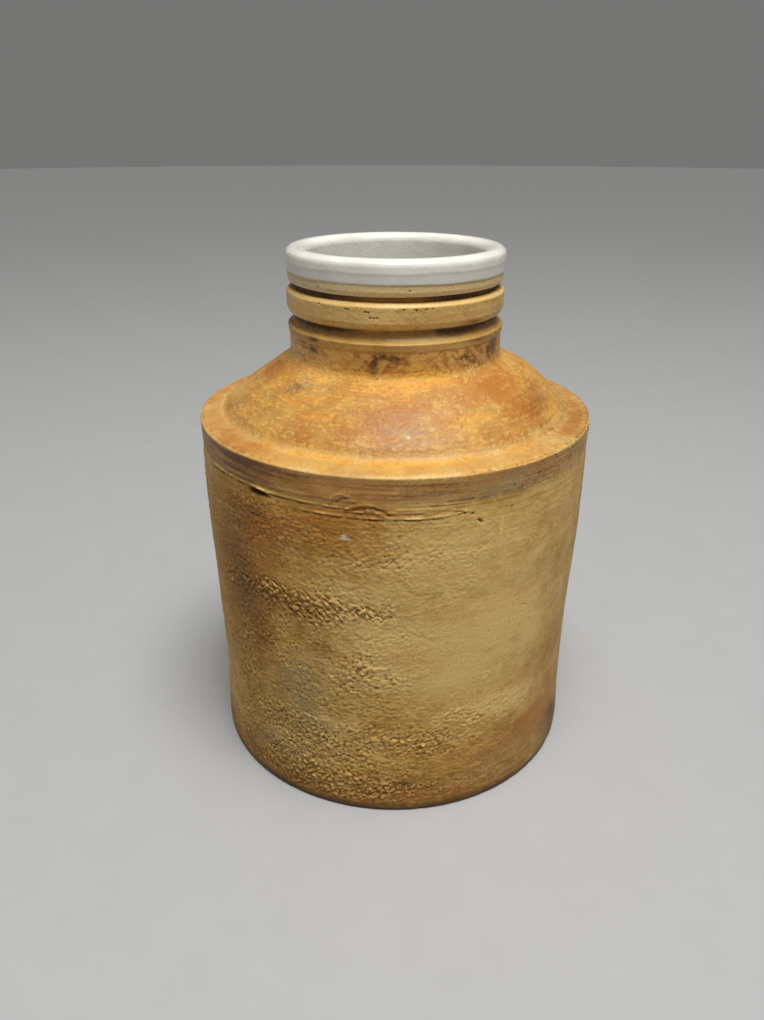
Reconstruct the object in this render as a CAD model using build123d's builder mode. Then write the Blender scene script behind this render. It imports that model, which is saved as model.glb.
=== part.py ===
from build123d import *
import os

# A wide-mouthed stoneware fermenting crock, taken apart into the pieces that a potter makes and joins:
# a floor disc, a straight wall, a shoulder, a turned neck, the clay in the joints between them, and two
# coats of white glaze. Every piece is a body of revolution about the Z axis, so each is a section drawn
# in the XZ plane as (radius, height) and turned once round. Sizes are in millimetres.

# Overall
HEIGHT = 305.0
GLAZE = 0.6  # thickness of both coats of glaze

# Outside of the wall
FOOT_R = 114.0
FOOT_ROUND = 3.5
WAIST_R = 113.2
WAIST_Z = 105.0
SWELL_R = 114.6
SWELL_Z = 178.0
WALL_TOP_R = 114.2

# The hollow, measured on the glaze
HOLLOW_R = 104.0
MOUTH_R = 50.5
FLOOR_Z = 12.6

# The same hollow in the bare clay
CLAY_HOLLOW_R = HOLLOW_R + GLAZE
CLAY_MOUTH_R = MOUTH_R + GLAZE
CLAY_FLOOR_Z = FLOOR_Z - GLAZE
COIL = 10.0  # width and height of the clay coil in the corner of the floor
COIL_HOLLOW = 1.6  # how far the coil's face is hollowed
INNER_CONE_FOOT_Z = 202.7  # ends of the cone under the shoulder, before they are rounded
INNER_CONE_TOP_Z = 241.6
INNER_CONE_ROUNDS = [9.0, 8.0]

# Joints
WALL_JOINT_Z = 196.0
SHOULDER_FOOT_Z = 198.0
NECK_JOINT_Z = 243.6
JOINT_BULGE = 0.4  # slip squeezed out of the shoulder joint

# Outside of the shoulder: a sharp edge, a narrow ledge inside it, then a slightly domed cone
EDGE_LOW = (114.5, 211.8)
EDGE_HIGH = (113.2, 213.6)
LEDGE_INNER = (103.0, 215.2)
LEDGE_CORNER = (99.4, 217.4)
CONE_FOOT = (96.5, 220.8)
CONE_MIDDLE = (80.0, 233.7)
CONE_TOP = (63.4, NECK_JOINT_Z)

# Outside of the neck, from its foot up
NECK_R = 60.3
FILLET_TOP_Z = 248.6
FILLET_HOLLOW = 0.8
BEAD_STEP = 0.6  # how far the bead stands out, and the height of the slope under it
BEAD_R = NECK_R + BEAD_STEP
BEAD_LOW_Z = 259.6
BEAD_HIGH_Z = 262.6
WIDE_GROOVE_R = 56.3
WIDE_GROOVE_LOW_Z = 268.3
WIDE_GROOVE_HIGH_Z = 270.1
BAND_R = 61.2
BAND_LOW_Z = 273.2
BAND_HIGH_Z = 282.2
NARROW_GROOVE_R = 56.4
NARROW_GROOVE_LOW_Z = 283.8
NARROW_GROOVE_HIGH_Z = 286.6
GROOVE_EDGE = 1.6  # how far the bands are rounded in beside the grooves
RAMP_HOLLOW = 0.6  # how far the slope from the bead into the wide groove is hollowed

# Lip: two quarter rounds that meet at its crest
DIP_Z = 292.7  # lower edge of the coat that the rim was dipped in
LIP_R = NECK_R + GLAZE
CREST_R = 56.8
LIP_OUTER_ROUND = LIP_R - CREST_R
LIP_INNER_ROUND = CREST_R - MOUTH_R
LIP_OUTER_Z = HEIGHT - LIP_OUTER_ROUND
LIP_INNER_Z = HEIGHT - LIP_INNER_ROUND

CLEAR_Z = HEIGHT + 10.0  # a height above the whole crock


def write(part, label):
    """Labels a finished piece and writes its STEP file."""
    part.label = label
    export_step(part, f"parts/{label}.step")


def lip_section(inset):
    """The lip's section above the dip line, inset this far from the surface of the glaze."""
    outer_r = LIP_R - inset
    inner_r = MOUTH_R + inset
    with BuildSketch() as lip:
        with BuildLine():
            Line((outer_r, DIP_Z), (outer_r, LIP_OUTER_Z))
            CenterArc((CREST_R, LIP_OUTER_Z), LIP_OUTER_ROUND - inset, 0, 90)
            CenterArc((CREST_R, LIP_INNER_Z), LIP_INNER_ROUND - inset, 90, 90)
            Polyline((inner_r, LIP_INNER_Z), (inner_r, DIP_Z), (outer_r, DIP_Z))
        make_face()
    return lip.sketch


os.makedirs("parts", exist_ok=True)

glazed_lip = lip_section(0)
bare_lip = lip_section(GLAZE)

# The hollow in the bare clay, from the axis out, which shapes the inside of every clay piece
coil_foot = (CLAY_HOLLOW_R - COIL, CLAY_FLOOR_Z)
coil_top = (CLAY_HOLLOW_R, CLAY_FLOOR_Z + COIL)
with BuildSketch() as bare_hollow:
    with BuildLine():
        Line((0, CLAY_FLOOR_Z), coil_foot)
        SagittaArc(coil_foot, coil_top, -COIL_HOLLOW)
        FilletPolyline(
            coil_top,
            (CLAY_HOLLOW_R, INNER_CONE_FOOT_Z),
            (CLAY_MOUTH_R, INNER_CONE_TOP_Z),
            (CLAY_MOUTH_R, CLEAR_Z),
            radius=INNER_CONE_ROUNDS,
        )
        Polyline((CLAY_MOUTH_R, CLEAR_Z), (0, CLEAR_Z), (0, CLAY_FLOOR_Z))
    make_face()

# The same hollow inside its coat of glaze, drawn on both sides of the axis so that the axis stays put
with BuildSketch() as glazed_hollow:
    add(bare_hollow.sketch)
    mirror(about=Plane.YZ)
    offset(amount=-GLAZE)

# Floor disc, inside the foot of the wall
with BuildPart() as base_slab:
    with BuildSketch(Plane.XZ):
        Rectangle(CLAY_HOLLOW_R, CLAY_FLOOR_Z, align=(Align.MIN, Align.MIN))
    revolve(axis=Axis.Z)
write(base_slab.part, "base_slab")

# Straight wall with a faint waist, which stands on the table
with BuildPart() as body_wall:
    with BuildSketch(Plane.XZ):
        with BuildLine():
            CenterArc((FOOT_R - FOOT_ROUND, FOOT_ROUND), FOOT_ROUND, -90, 90)
            Spline(
                (FOOT_R, FOOT_ROUND),
                (WAIST_R, WAIST_Z),
                (SWELL_R, SWELL_Z),
                (WALL_TOP_R, WALL_JOINT_Z),
            )
            Polyline(
                (WALL_TOP_R, WALL_JOINT_Z),
                (CLAY_HOLLOW_R, WALL_JOINT_Z),
                (CLAY_HOLLOW_R, 0),
                (FOOT_R - FOOT_ROUND, 0),
            )
        make_face()
    revolve(axis=Axis.Z)
write(body_wall.part, "body_wall")

# Coil of clay pressed into the corner between the floor and the wall
with BuildPart() as base_seam_coil:
    with BuildSketch(Plane.XZ):
        with Locations((CLAY_HOLLOW_R, CLAY_FLOOR_Z)):
            Rectangle(COIL, COIL, align=(Align.MAX, Align.MIN))
        add(bare_hollow.sketch, mode=Mode.SUBTRACT)
    revolve(axis=Axis.Z)
write(base_seam_coil.part, "base_seam_coil")

# Ring of slip in the joint between the wall and the shoulder, a little proud outside
with BuildPart() as shoulder_seam_slip:
    with BuildSketch(Plane.XZ):
        with BuildLine():
            Polyline(
                (WALL_TOP_R, WALL_JOINT_Z),
                (CLAY_HOLLOW_R, WALL_JOINT_Z),
                (CLAY_HOLLOW_R, SHOULDER_FOOT_Z),
                (WALL_TOP_R, SHOULDER_FOOT_Z),
            )
            SagittaArc((WALL_TOP_R, SHOULDER_FOOT_Z), (WALL_TOP_R, WALL_JOINT_Z), JOINT_BULGE)
        make_face()
    revolve(axis=Axis.Z)
write(shoulder_seam_slip.part, "shoulder_seam_slip")

# Shoulder: a short band up to the sharp edge, the narrow ledge, and the cone up to the neck
with BuildPart() as shoulder_cap:
    with BuildSketch(Plane.XZ):
        with BuildLine():
            Polyline((WALL_TOP_R, SHOULDER_FOOT_Z), EDGE_LOW, EDGE_HIGH, LEDGE_INNER)
            ThreePointArc(LEDGE_INNER, LEDGE_CORNER, CONE_FOOT)
            ThreePointArc(CONE_FOOT, CONE_MIDDLE, CONE_TOP)
            Polyline(
                CONE_TOP,
                (CLAY_MOUTH_R, NECK_JOINT_Z),
                (CLAY_MOUTH_R, SHOULDER_FOOT_Z),
                (WALL_TOP_R, SHOULDER_FOOT_Z),
            )
        make_face()
        add(bare_hollow.sketch, mode=Mode.SUBTRACT)
    revolve(axis=Axis.Z)
write(shoulder_cap.part, "shoulder_cap")

# Fillet of slip round the foot of the neck
with BuildPart() as neck_seam_slip:
    with BuildSketch(Plane.XZ):
        with BuildLine():
            Polyline((NECK_R, FILLET_TOP_Z), (NECK_R, NECK_JOINT_Z), CONE_TOP)
            SagittaArc(CONE_TOP, (NECK_R, FILLET_TOP_Z), -FILLET_HOLLOW)
        make_face()
    revolve(axis=Axis.Z)
write(neck_seam_slip.part, "neck_seam_slip")

# Neck, turned with a bead, a wide groove, a band, a narrow groove and the rim above it
with BuildPart() as neck_collar:
    with BuildSketch(Plane.XZ):
        with BuildLine():
            Polyline(
                (CLAY_MOUTH_R, DIP_Z),
                (CLAY_MOUTH_R, NECK_JOINT_Z),
                (NECK_R, NECK_JOINT_Z),
                (NECK_R, BEAD_LOW_Z - BEAD_STEP),
                (BEAD_R, BEAD_LOW_Z),
                (BEAD_R, BEAD_HIGH_Z),
            )
            SagittaArc((BEAD_R, BEAD_HIGH_Z), (WIDE_GROOVE_R, WIDE_GROOVE_LOW_Z), -RAMP_HOLLOW)
            Polyline(
                (WIDE_GROOVE_R, WIDE_GROOVE_LOW_Z),
                (WIDE_GROOVE_R, WIDE_GROOVE_HIGH_Z),
                (BAND_R - GROOVE_EDGE, WIDE_GROOVE_HIGH_Z),
            )
            SagittaArc((BAND_R - GROOVE_EDGE, WIDE_GROOVE_HIGH_Z), (BAND_R, BAND_LOW_Z), RAMP_HOLLOW)
            Polyline(
                (BAND_R, BAND_LOW_Z),
                (BAND_R, BAND_HIGH_Z),
                (BAND_R - GROOVE_EDGE, NARROW_GROOVE_LOW_Z),
                (NARROW_GROOVE_R, NARROW_GROOVE_LOW_Z),
                (NARROW_GROOVE_R, NARROW_GROOVE_HIGH_Z),
                (NECK_R - GROOVE_EDGE, NARROW_GROOVE_HIGH_Z),
                (NECK_R, NARROW_GROOVE_HIGH_Z + GROOVE_EDGE),
                (NECK_R, DIP_Z),
                (CLAY_MOUTH_R, DIP_Z),
            )
        make_face()
        add(bare_lip)
        add(bare_hollow.sketch, mode=Mode.SUBTRACT)
    revolve(axis=Axis.Z)
write(neck_collar.part, "neck_collar")

# Glaze poured over the whole inside, up to the dip line
with BuildPart() as interior_glaze:
    with BuildSketch(Plane.XZ):
        add(bare_hollow.sketch)
        add(glazed_hollow.sketch, mode=Mode.SUBTRACT)
        Rectangle(CLAY_HOLLOW_R, DIP_Z, align=(Align.MIN, Align.MIN), mode=Mode.INTERSECT)
    revolve(axis=Axis.Z)
write(interior_glaze.part, "interior_glaze")

# Glaze on the lip, where the rim was dipped
with BuildPart() as rim_glaze:
    with BuildSketch(Plane.XZ):
        add(glazed_lip)
        add(bare_lip, mode=Mode.SUBTRACT)
    revolve(axis=Axis.Z)
write(rim_glaze.part, "rim_glaze")
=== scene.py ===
import itertools
import math
import bpy
import numpy as np
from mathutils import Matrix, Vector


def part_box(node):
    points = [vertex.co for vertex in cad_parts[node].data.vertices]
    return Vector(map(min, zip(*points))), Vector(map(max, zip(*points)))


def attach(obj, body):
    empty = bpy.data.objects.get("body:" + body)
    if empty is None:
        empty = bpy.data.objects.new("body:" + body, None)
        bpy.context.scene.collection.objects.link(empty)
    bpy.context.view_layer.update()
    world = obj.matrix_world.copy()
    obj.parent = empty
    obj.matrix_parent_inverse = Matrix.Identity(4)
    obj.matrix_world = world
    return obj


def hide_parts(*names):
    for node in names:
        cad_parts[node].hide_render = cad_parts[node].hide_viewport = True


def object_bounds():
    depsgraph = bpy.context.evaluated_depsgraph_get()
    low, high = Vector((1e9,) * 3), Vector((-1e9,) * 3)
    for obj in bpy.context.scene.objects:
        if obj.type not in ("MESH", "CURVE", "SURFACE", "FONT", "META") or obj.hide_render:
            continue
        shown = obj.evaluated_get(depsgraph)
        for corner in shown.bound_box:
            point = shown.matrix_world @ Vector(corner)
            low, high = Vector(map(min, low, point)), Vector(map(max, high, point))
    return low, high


# The looks of a stoneware fermenting crock. One skin is turned round the axis: from the foot, up the wall,
# over the shoulder and the neck to the lip, and down inside it. It carries the relief of a salt-fired pot,
# with turning lines, orange peel, blisters, pits and a torn joint, and is then cut at the joints into the
# visible pieces. Lengths are in millimetres until a mesh is made. Azimuths are in degrees from the front
# (-Y), positive to the right.

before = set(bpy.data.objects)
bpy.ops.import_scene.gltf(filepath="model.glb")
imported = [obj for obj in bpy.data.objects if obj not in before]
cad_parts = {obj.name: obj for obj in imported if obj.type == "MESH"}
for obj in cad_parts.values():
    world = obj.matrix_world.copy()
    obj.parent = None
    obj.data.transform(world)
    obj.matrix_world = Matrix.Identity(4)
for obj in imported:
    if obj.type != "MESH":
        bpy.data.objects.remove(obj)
cad_bounds = [list(corner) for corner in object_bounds()]

MM = 0.001
BODY = "root"
COARSE = 1
COLUMNS = 1440 // COARSE


def node_box(name):
    """A CAD node's lowest and highest corners, in millimetres."""
    low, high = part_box(name)
    return low / MM, high / MM


# ---- sizes, from the frame

HEIGHT = cad_bounds[1][2] / MM
WALL_JOINT_Z = node_box("body_wall")[1].z
SHOULDER_FOOT_Z = node_box("shoulder_cap")[0].z
NECK_JOINT_Z = node_box("neck_collar")[0].z
FILLET_TOP_Z = node_box("neck_seam_slip")[1].z
DIP_Z = node_box("rim_glaze")[0].z
CLAY_FLOOR_Z = node_box("base_slab")[1].z
COIL_TOP_Z = node_box("base_seam_coil")[1].z
EDGE_R = node_box("shoulder_cap")[1].x
CONE_TOP_R = node_box("neck_seam_slip")[1].x
BAND_R = node_box("neck_collar")[1].x
LIP_R = node_box("rim_glaze")[1].x
CLAY_WALL_R = node_box("interior_glaze")[1].x
GLAZE = 0.6
NECK_R = LIP_R - GLAZE
MOUTH_R = 50.5
CREST_R = 56.8
FOOT_R = EDGE_R - 0.5
WAIST_R = EDGE_R - 1.3
SWELL_R = EDGE_R + 0.1
WALL_TOP_R = EDGE_R - 0.3
EDGE_Z = 213.0
LEDGE_Z = 215.4
CONE_FOOT_Z = 219.0
INNER_CONE_FOOT_Z = 202.7
INNER_CONE_TOP_Z = 241.6

# ---- noise


def scramble(seed, *cells):
    """A repeatable 32-bit number for each cell of a lattice."""
    primes = (0x9E3779B1, 0x85EBCA77, 0xC2B2AE3D)
    mixed = np.full(1, (seed * 0x27D4EB2F + 0x165667B1) & 0xFFFFFFFF, np.uint32)
    for cell, prime in zip(cells, primes):
        mixed = mixed ^ (cell * np.uint32(prime))
        mixed = (mixed ^ (mixed >> np.uint32(15))) * np.uint32(0x2C1B3C6D)
    mixed = (mixed ^ (mixed >> np.uint32(13))) * np.uint32(0x297A2D39)
    return mixed ^ (mixed >> np.uint32(16))


def noise(seed, *axes):
    """Smooth gradient noise, about -1 to 1. Each coordinate is an array, counted in cells."""
    axes = np.broadcast_arrays(*[np.asarray(a, np.float32) for a in axes])
    whole = [np.floor(a) for a in axes]
    part = [a - w for a, w in zip(axes, whole)]
    cells = [w.astype(np.int32).astype(np.uint32) for w in whole]
    fade = [p * p * p * (p * (p * 6 - 15) + 10) for p in part]
    total = np.zeros(axes[0].shape, np.float32)
    for corner in itertools.product((0, 1), repeat=len(axes)):
        mixed = scramble(seed, *[c + np.uint32(k) for c, k in zip(cells, corner)])
        slope = np.zeros_like(total)
        weight = np.ones_like(total)
        for n, k in enumerate(corner):
            lean = ((mixed >> np.uint32(10 * n)) & np.uint32(1023)).astype(np.float32) / 511.5 - 1
            slope += lean * (part[n] - k)
            weight *= fade[n] if k else 1 - fade[n]
        total += slope * weight
    return total * 1.6


def layers(seed, count, *axes):
    """Octaves of noise, each half as large and half as strong as the last."""
    total = 0
    for n in range(count):
        total = total + noise(seed + n, *[np.asarray(a) * 2.0**n for a in axes]) * 0.5**n
    return total


def smooth(low, high, value):
    """0 below low, 1 above high, and a smooth rise between them."""
    t = np.clip((value - low) / (high - low), 0, 1)
    return t * t * (3 - 2 * t)


def near(value, centre, width):
    """1 where value is centre, and falling softly to 0 within about twice the width."""
    return np.exp(-(((value - centre) / width) ** 2))


# ---- the skin's outline


def rounded(corners):
    """The points of a line through corners (radius, height, rounding), with each rounded corner an arc."""
    points = [np.array(corners[0][:2], float)]
    for before, corner, after in zip(corners, corners[1:], corners[2:]):
        here = np.array(corner[:2], float)
        back = np.array(before[:2], float) - here
        on = np.array(after[:2], float) - here
        reach = [np.linalg.norm(back), np.linalg.norm(on)]
        back, on = back / reach[0], on / reach[1]
        half = math.acos(np.clip(back @ on, -1, 1)) / 2
        if corner[2] <= 0 or half > 1.55:
            points.append(here)
            continue
        tangent = min(corner[2] / math.tan(half), 0.49 * min(reach))
        radius = tangent * math.tan(half)
        inward = (back + on) / np.linalg.norm(back + on)
        centre = here + inward * radius / math.sin(half)
        first, last = here + back * tangent - centre, here + on * tangent - centre
        sweep = math.pi - 2 * half
        for t in np.linspace(0, 1, max(3, int(sweep / 0.12))):
            turn = (math.sin((1 - t) * sweep) * first + math.sin(t * sweep) * last) / math.sin(sweep)
            points.append(centre + turn)
    points.append(np.array(corners[-1][:2], float))
    return np.array(points)


def even(points, step):
    """The same line as points a step apart, with both ends kept."""
    length = np.r_[0, np.cumsum(np.linalg.norm(np.diff(points, axis=0), axis=1))]
    count = max(2, int(round(length[-1] / (step * COARSE))) + 1)
    at = np.linspace(0, length[-1], count)
    return np.stack([np.interp(at, length, points[:, k]) for k in (0, 1)], 1)


def wall_line():
    """Foot and wall: a rounded foot, then a cubic through the foot, the waist, the swell and the top."""
    heights = [3.5, 105.0, 178.0, WALL_JOINT_Z]
    bend = np.polyfit(heights, [FOOT_R, WAIST_R, SWELL_R, WALL_TOP_R], 3)
    foot = [(FOOT_R - 5.0, 0.0, 0), (FOOT_R - 0.6, 0.0, 3.0), (FOOT_R, 7.0, 0)]
    rise = np.linspace(7.0, WALL_JOINT_Z, 40)
    return np.vstack([rounded(foot)[:-1], np.stack([np.polyval(bend, rise), rise], 1)])


SHOULDER = [
    (WALL_TOP_R, SHOULDER_FOOT_Z, 0),
    (EDGE_R, EDGE_Z - 0.3, 1.0),
    (EDGE_R - 2.0, EDGE_Z + 0.9, 1.6),
    (100.6, LEDGE_Z, 9.0),
    (96.5, CONE_FOOT_Z + 1.5, 6.0),
    (80.6, 234.6, 70.0),
    (CONE_TOP_R, NECK_JOINT_Z, 0),
]
FILLET = [
    (CONE_TOP_R, NECK_JOINT_Z, 0),
    (NECK_R + 0.5, NECK_JOINT_Z + 2.2, 6.0),
    (NECK_R, FILLET_TOP_Z, 0),
]
NECK = [
    (NECK_R, FILLET_TOP_Z, 0),
    (NECK_R, 258.9, 0.5),
    (NECK_R + 0.7, 259.9, 0.7),
    (NECK_R + 0.6, 263.1, 0.9),
    (NECK_R - 2.2, 264.9, 3.0),
    (NECK_R - 4.0, 268.6, 2.0),
    (NECK_R - 4.0, 270.1, 0.8),
    (BAND_R - 1.5, 270.4, 0.9),
    (BAND_R, 273.6, 2.0),
    (BAND_R, 281.9, 0.8),
    (BAND_R - 1.7, 283.5, 0.8),
    (NECK_R - 3.9, 283.9, 0.4),
    (NECK_R - 3.9, 286.6, 0.4),
    (NECK_R - 1.0, 286.9, 0.8),
    (NECK_R, 289.0, 1.6),
    (NECK_R, DIP_Z, 0),
]
LIP = [
    (NECK_R, DIP_Z, 0),
    (LIP_R - 0.1, DIP_Z + 0.15, 0.25),
    (LIP_R, HEIGHT, LIP_R - CREST_R),
    (MOUTH_R, HEIGHT, CREST_R - MOUTH_R),
    (MOUTH_R, DIP_Z, 0),
]
SEAM = [(WALL_TOP_R, WALL_JOINT_Z, 0), (WALL_TOP_R, SHOULDER_FOOT_Z, 0)]

# Each visible piece's stretch of the skin, from the foot up, with the spacing of its rows
STRETCHES = [
    ("body_wall", wall_line(), 0.5),
    ("shoulder_seam_slip", rounded(SEAM), 0.4),
    ("shoulder_cap", rounded(SHOULDER), 0.5),
    ("neck_seam_slip", rounded(FILLET), 0.4),
    ("neck_collar", rounded(NECK), 0.38),
    ("rim_glaze", rounded(LIP), 0.5),
]

line = STRETCHES[0][1][:1]
rows_of = {}
for name, points, step in STRETCHES:
    stretch = even(points, step)
    rows_of[name] = (len(line) - 1, len(line) - 1 + len(stretch))
    line = np.vstack([line, stretch[1:]])


class Turned:
    """A surface turned from a line of points (radius, height), as arrays of rows by columns."""

    def __init__(self, points):
        self.line = points
        ahead = np.gradient(points, axis=0)
        ahead /= np.linalg.norm(ahead, axis=1, keepdims=True)
        self.outward = np.stack([ahead[:, 1], -ahead[:, 0]], 1)
        steps = np.linalg.norm(np.diff(points, axis=0), axis=1)
        self.along = np.r_[0, np.cumsum(steps)].astype(np.float32)
        self.R = points[:, 0].astype(np.float32)[:, None]
        self.S = self.along[:, None]
        self.AZ = ((np.arange(COLUMNS) + 0.5) / COLUMNS * 360 - 180).astype(np.float32)[None, :]
        self.sine, self.cosine = np.sin(np.radians(self.AZ)), np.cos(np.radians(self.AZ))
        self.X = self.R * self.sine
        self.Y = -self.R * self.cosine
        self.Z = np.broadcast_to(points[:, 1].astype(np.float32)[:, None], self.X.shape)

    def blank(self):
        return np.zeros(self.X.shape, np.float32)

    def mottle(self, seed, across, up, count=1, along=None):
        """Noise in count octaves, of features about across mm wide and up mm high or along."""
        along = self.Z if along is None else along
        return layers(seed, count, self.X / across, self.Y / across, along / up)

    def places(self, lift, rise=0.0):
        """The surface moved out by lift and up by rise, as rows x columns x 3."""
        radius = self.R + lift * self.outward[:, :1]
        height = self.Z + lift * self.outward[:, 1:] + rise
        return np.stack([radius * self.sine, -radius * self.cosine, height], 2)


skin = Turned(line)
X, Y, Z, S, AZ, R = skin.X, skin.Y, skin.Z, skin.S, skin.AZ, skin.R
mottle = skin.mottle
crest_row = int(np.argmax(line[:, 1]))


def between(low, rise, fall, high):
    """1 from the height rise to the height fall, and 0 below low and above high."""
    return smooth(low, rise, Z) * (1 - smooth(fall, high, Z))


def at_z(z):
    """Distance along the skin to height z, outside the lip."""
    return float(np.interp(z, line[: crest_row + 1, 1], skin.along[: crest_row + 1]))


def at_r(r):
    """Distance along the skin to radius r, on the shoulder's ledge and cone."""
    first, last = rows_of["shoulder_cap"]
    first += int(np.argmax(line[first:last, 0]))
    return float(np.interp(-r, -line[first:last, 0], skin.along[first:last]))


# ---- marks at a place on the skin


def window(az, s, reach):
    """The rows and columns within reach of a place, and their distances from it in mm, across and up."""
    rows = np.flatnonzero(np.abs(skin.along - s) < reach)
    radius = float(np.interp(s, skin.along, line[:, 0]))
    apart = (AZ[0] - az + 180) % 360 - 180
    columns = np.flatnonzero(np.abs(np.radians(apart)) * radius < reach)
    across = np.radians(apart[columns])[None, :] * R[rows]
    up = (skin.along[rows] - s)[:, None]
    return np.ix_(rows, columns), across, up


def spot(field, az, s, width, height, strength=1.0, tilt=0.0):
    """Adds a soft oval to a field. width and height are its half sizes; tilt raises its right end."""
    where, across, up = window(az, s, 2.6 * max(width, height))
    c, t = math.cos(math.radians(tilt)), math.sin(math.radians(tilt))
    u = (across * c + up * t) / width
    v = (up * c - across * t) / height
    field[where] += strength * np.exp(-(u * u + v * v))


def spots(field, marks, place=at_z):
    """Adds spots: (azimuth, height, half width, half height, strength, tilt), the last two if any.

    With place=at_r, the height is a radius on the shoulder."""
    for az, height, *shape in marks:
        spot(field, az, place(height), *shape)


def field_spots(groups, place=at_z):
    """Adds spots to several fields, from pairs of a field and its marks."""
    for field, marks in groups:
        spots(field, marks, place)


def scatter(count, fields, azimuths, heights, widths, flatness, strengths, sign=1):
    """Adds random spots, each to one of the fields. What follows fields are ranges."""
    for _ in range(count):
        az, z = pick(*azimuths), pick(*heights)
        width = pick(*widths)
        field = fields[int(chance.integers(len(fields)))] if len(fields) > 1 else fields[0]
        height = width * pick(*flatness)
        spot(field, az, at_z(z), width, height, sign * pick(*strengths))


def stroke(field, places, width, strength, broken=0.0, shift=0.0):
    """Adds a soft line through places (azimuth, height), faded by up to broken where it is patchy."""
    places = [(az, at_z(z + shift)) for az, z in places]
    mark = np.zeros_like(field)
    for (az0, s0), (az1, s1) in zip(places, places[1:]):
        middle = ((az0 + az1) / 2, (s0 + s1) / 2)
        radius = float(np.interp(middle[1], skin.along, line[:, 0]))
        run = np.array([math.radians(az1 - az0) * radius, s1 - s0])
        length = np.linalg.norm(run)
        where, across, up = window(*middle, length / 2 + 3 * width)
        t = np.clip((across * run[0] + up * run[1]) / length**2, -0.5, 0.5)
        gap = (across - t * run[0]) ** 2 + (up - t * run[1]) ** 2
        mark[where] = np.maximum(mark[where], np.exp(-gap / width**2))
    field += strength * mark * (1 - broken * patchy)


chance = np.random.default_rng(7)
pick = chance.uniform
patchy = smooth(-0.35, 0.45, mottle(82, 5, 3))


def domes(seed, size, fill):
    """Rounded grains about size apart on the unrolled skin, from 0 between them to 1 on the largest."""
    count = int(round(2 * math.pi * FOOT_R / size))
    across = (AZ / 360 + 0.5) * count + 0.6 * mottle(seed + 1, 9, 9)
    up = S / size + 0.6 * mottle(seed + 2, 9, 9)
    best = skin.blank()
    for i, j in itertools.product((-1, 0, 1), repeat=2):
        column, row = np.floor(across) + i, np.floor(up) + j
        mixed = scramble(seed, (column.astype(np.int32) % count).astype(np.uint32), row.astype(np.uint32))
        du = across - column - 0.15 - 0.7 * (mixed & np.uint32(1023)) / 1023
        dv = up - row - 0.15 - 0.7 * ((mixed >> np.uint32(10)) & np.uint32(1023)) / 1023
        size_here = fill * (0.35 + 0.65 * (mixed >> np.uint32(20)) / 4095)
        best = np.maximum(best, size_here * (1 - (du * du + dv * dv) / size_here**2))
    return best.astype(np.float32)


def blurred(field, passes):
    """The field averaged with its neighbours, again and again."""
    for _ in range(passes):
        field = (np.roll(field, 1, 1) + field + np.roll(field, -1, 1)) / 3
        padded = np.vstack([field[:1], field, field[-1:]])
        field = (padded[:-2] + padded[1:-1] + padded[2:]) / 3
    return field


# ---- relief, in mm out from the skin

outside = R > 55
body_side = R > 105
lip_face = R > 60
on_wall = between(2, 8, 208, 212)
on_shoulder = between(212, 214, 243, 247)
on_neck = between(244, 249, 291, 292.6) * outside
on_glaze = ((Z > DIP_Z) | ~outside).astype(np.float32)
on_clay = 1 - on_glaze

lift = 0.3 * mottle(11, 45, 32) * smooth(0, 30, Z) * on_clay
lift += 0.05 * mottle(12, 30, 30) * on_glaze

# turning lines: long round the pot and short up it
lines = mottle(21, 60, 1.7, 2, S)
turned = 0.035 * on_wall + 0.06 * smooth(140, 205, Z) * on_wall
turned = turned + 0.05 * on_shoulder + 0.03 * on_neck
lift += lines * turned
lift += 0.05 * mottle(24, 50, 5.5, 1, S) * (on_wall + on_shoulder)

# how grainy the wall is: most at the left and low down, least in two smooth places at the right
grainy = 0.62 + 0.25 * mottle(31, 20, 14, 3)
SMOOTH = [
    (34, 128, 44, 52, -0.62), (62, 90, 44, 80, -0.55), (14, 100, 20, 20, -0.4), (30, 190, 46, 16, -0.3),
    (52, 24, 34, 18, -0.35), (-50, 112, 26, 80, 0.18), (-36, 110, 15, 24, 0.34), (-30, 172, 30, 14, 0.08),
    (150, 132, 60, 44, -0.6), (-120, 150, 40, 30, -0.5), (-150, 60, 30, 24, -0.45),
]
spots(grainy, SMOOTH)
grainy = np.clip(grainy, 0.13, 1.1) * on_wall * (1 - 0.7 * smooth(190, 199, Z))

# patches rougher than that, at the front
ROUGH = [
    (-27, 135, 32, 12, 0.3), (-6, 137, 22, 10, 0.45), (-4, 167, 16, 9, 0.35), (-12, 94, 34, 20, 0.6),
    (-52, 92, 22, 24, 0.38), (-56, 132, 12, 9, 0.4), (-26, 40, 40, 27, 0.85), (-28, 14, 34, 12, 0.75),
    (-50, 50, 22, 26, 0.45), (-4, 16, 32, 11, 0.8), (0, 50, 26, 14, 0.55), (26, 58, 38, 15, 0.42),
    (18, 42, 22, 8, 0.4), (34, 14, 36, 8, 0.4), (18, 170, 22, 7, 0.26), (30, 148, 22, 6, 0.2),
]
rough = skin.blank()
spots(rough, ROUGH)

# the side that isn't seen has patches like those of the front
for _ in range(34):
    az = pick(88, 272)
    z = 8 + 150 * chance.random() ** 1.4
    width = pick(12, 34)
    spot(rough, az, at_z(z), width, width * pick(0.35, 0.75), pick(0.25, 0.75))
edges = 0.5 * mottle(35, 14, 10, 3)
rough = smooth(0.12, 1.0, rough * (1 + edges) + 0.16 * edges) * on_wall * smooth(3, 7, Z)

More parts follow.
